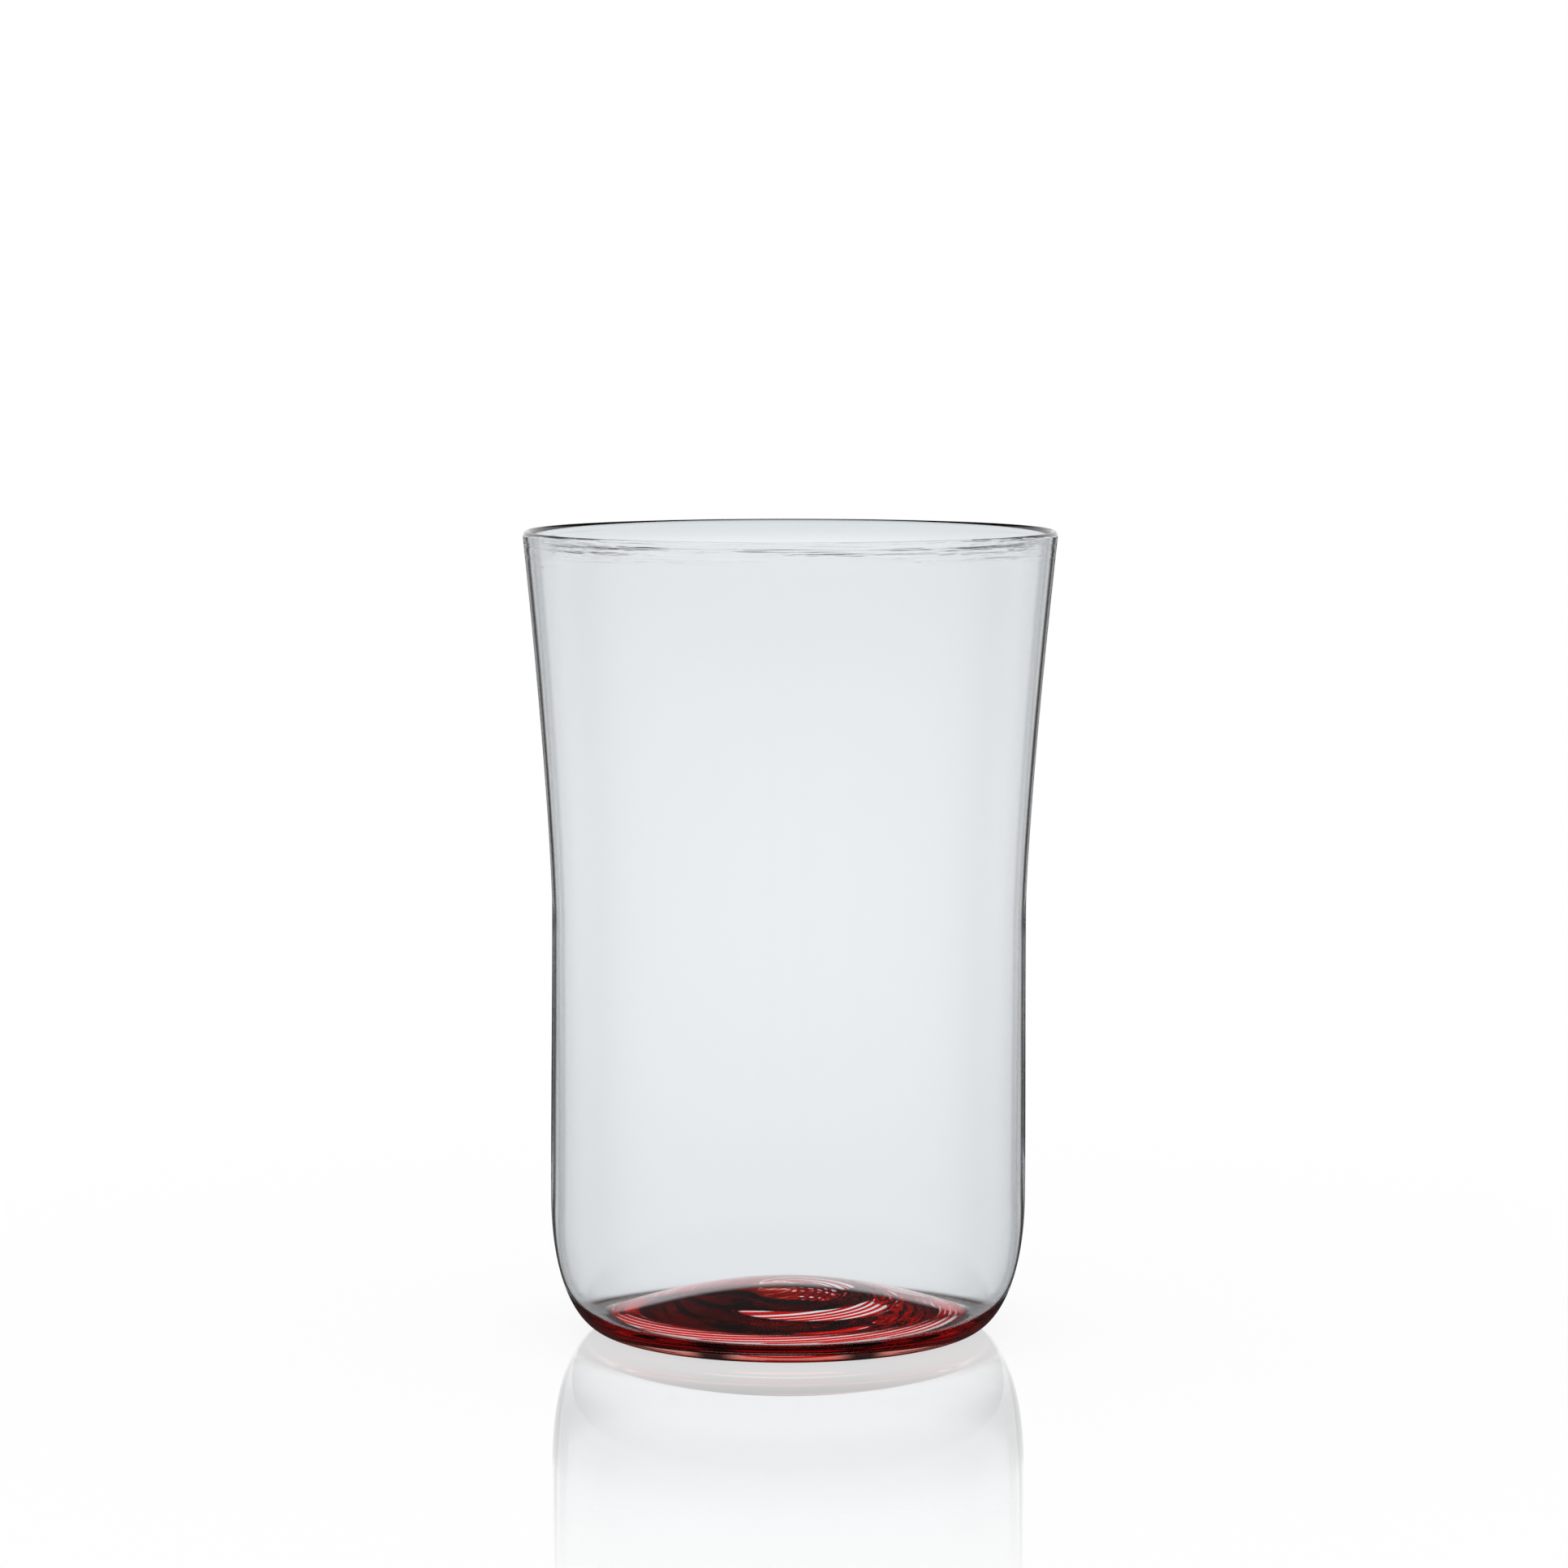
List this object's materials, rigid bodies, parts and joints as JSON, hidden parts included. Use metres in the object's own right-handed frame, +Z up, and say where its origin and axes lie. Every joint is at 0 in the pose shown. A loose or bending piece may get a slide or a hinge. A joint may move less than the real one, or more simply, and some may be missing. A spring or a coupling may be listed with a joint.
{
  "type": "drinking glass",
  "caption": "Tall clear blown-glass tumbler with a drawn-in waist, flared rim, rounded heel and a domed base that seals a spiral of ruby filigree canes.",
  "frame": {"origin": "on the axis of the glass, on the plane that the standing ring rests on", "axes": "+Z up along the axis of the glass, -Y towards the viewer of the picture, +X to the right"},
  "size_m": [0.0794, 0.0794, 0.12],
  "materials": {
    "clear_glass": "clear, fire-polished, faintly cool",
    "ruby_glass": "clear deep ruby, smooth"
  },
  "bodies": {
    "root": {"bowl": "clear_glass", "base_casing": "clear_glass", "cane_01": "ruby_glass", "cane_02": "ruby_glass", "cane_03": "ruby_glass", "cane_04": "ruby_glass", "cane_05": "ruby_glass", "cane_06": "ruby_glass", "cane_07": "ruby_glass", "cane_08": "ruby_glass", "cane_09": "ruby_glass", "cane_10": "ruby_glass", "cane_11": "ruby_glass", "cane_12": "ruby_glass", "cane_13": "ruby_glass", "cane_14": "ruby_glass", "cane_15": "ruby_glass", "cane_16": "ruby_glass", "centre_ring": "ruby_glass"}
  },
  "joints": []
}
